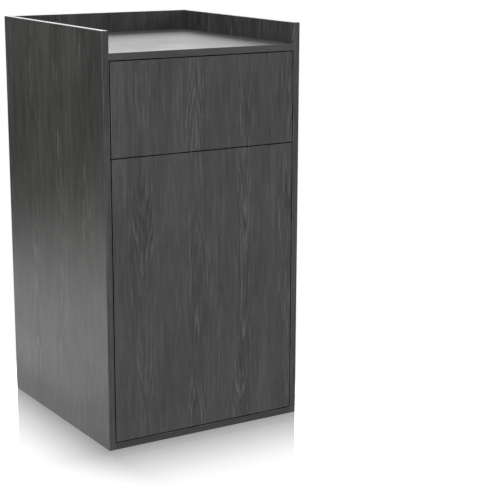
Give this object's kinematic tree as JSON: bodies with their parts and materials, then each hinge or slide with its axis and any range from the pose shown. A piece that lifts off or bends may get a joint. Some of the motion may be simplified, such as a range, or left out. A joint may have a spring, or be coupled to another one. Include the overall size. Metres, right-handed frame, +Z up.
{
  "type": "trash can cabinet",
  "caption": "Free-standing dark woodgrain waste cabinet with a swinging push flap over an inset door on concealed hinges and a tray top with a rim on three sides.",
  "frame": {"origin": "middle of the base, on the floor", "axes": "+X to the right seen from the front, +Y from the front to the back, +Z up"},
  "size_m": [0.59, 0.61, 1.1],
  "materials": {
    "charcoal_board": "satin charcoal woodgrain melamine",
    "zinc_cam": "die-cast zinc",
    "plated_steel": "zinc plated",
    "beech_dowel": "fluted beech",
    "dark_nylon": "moulded",
    "hinge_nickel": "nickel plated",
    "cream_plastic": "moulded cream",
    "cream_enamel": "cream enamel",
    "dark_magnet": "sintered"
  },
  "bodies": {
    "carcass": {"left_side_panel": "charcoal_board", "right_side_panel": "charcoal_board", "back_panel": "charcoal_board", "floor_panel": "charcoal_board", "tray_top": "charcoal_board", "cam_discs": "zinc_cam", "cam_bolts": "plated_steel", "wood_dowels": "beech_dowel", "pivot_bushes": "dark_nylon", "upper_hinge_plate": "hinge_nickel", "lower_hinge_plate": "hinge_nickel", "upper_hinge_arm": "hinge_nickel", "lower_hinge_arm": "hinge_nickel", "inner_arm_pins": "hinge_nickel", "plate_screws": "plated_steel", "arm_screws": "plated_steel", "catch_case": "cream_plastic", "catch_magnet": "dark_magnet", "catch_pole_plates": "plated_steel", "catch_screws": "plated_steel"},
    "upper_outer_link": {"upper_outer_link": "hinge_nickel", "upper_outer_link_pins": "hinge_nickel"},
    "lower_outer_link": {"lower_outer_link": "hinge_nickel", "lower_outer_link_pins": "hinge_nickel"},
    "upper_inner_link": {"upper_inner_link": "hinge_nickel"},
    "lower_inner_link": {"lower_inner_link": "hinge_nickel"},
    "door": {"door_panel": "charcoal_board", "upper_hinge_cup": "hinge_nickel", "lower_hinge_cup": "hinge_nickel", "inner_cup_pins": "hinge_nickel", "cup_screws": "plated_steel", "strike_plate": "cream_enamel", "strike_screws": "plated_steel"},
    "flap": {"flap_panel": "charcoal_board", "flap_pivot_pins": "plated_steel"}
  },
  "joints": [
    {"name": "door_swing", "type": "hinge", "parent": "upper_outer_link", "child": "door", "pos_m": [-0.2568, -0.296, 0.671], "axis": [0, 0, -1], "range_deg": [0, 57]},
    {"name": "upper_outer_link_swing", "type": "hinge", "parent": "carcass", "child": "upper_outer_link", "pos_m": [-0.2415, -0.293, 0.671], "axis": [0, 0, -1], "range_deg": [0, 50]},
    {"name": "lower_outer_link_swing", "type": "hinge", "parent": "carcass", "child": "lower_outer_link", "pos_m": [-0.2415, -0.293, 0.126], "axis": [0, 0, -1], "range_deg": [0, 50]},
    {"name": "upper_inner_link_swing", "type": "hinge", "parent": "carcass", "child": "upper_inner_link", "pos_m": [-0.2395, -0.2868, 0.671], "axis": [0, 0, -1], "range_deg": [0, 19]},
    {"name": "lower_inner_link_swing", "type": "hinge", "parent": "carcass", "child": "lower_inner_link", "pos_m": [-0.2395, -0.2868, 0.126], "axis": [0, 0, -1], "range_deg": [0, 19]},
    {"name": "flap_swing", "type": "hinge", "parent": "carcass", "child": "flap", "pos_m": [0, -0.296, 1.008], "axis": [-1, 0, 0], "range_deg": [-85, 120]}
  ],
  "couplings": [
    {"joint": "upper_outer_link_swing", "follows": "door_swing", "ratio": 0.877},
    {"joint": "lower_outer_link_swing", "follows": "door_swing", "ratio": 0.877},
    {"joint": "upper_inner_link_swing", "follows": "door_swing", "ratio": 0.3333},
    {"joint": "lower_inner_link_swing", "follows": "door_swing", "ratio": 0.3333}
  ]
}
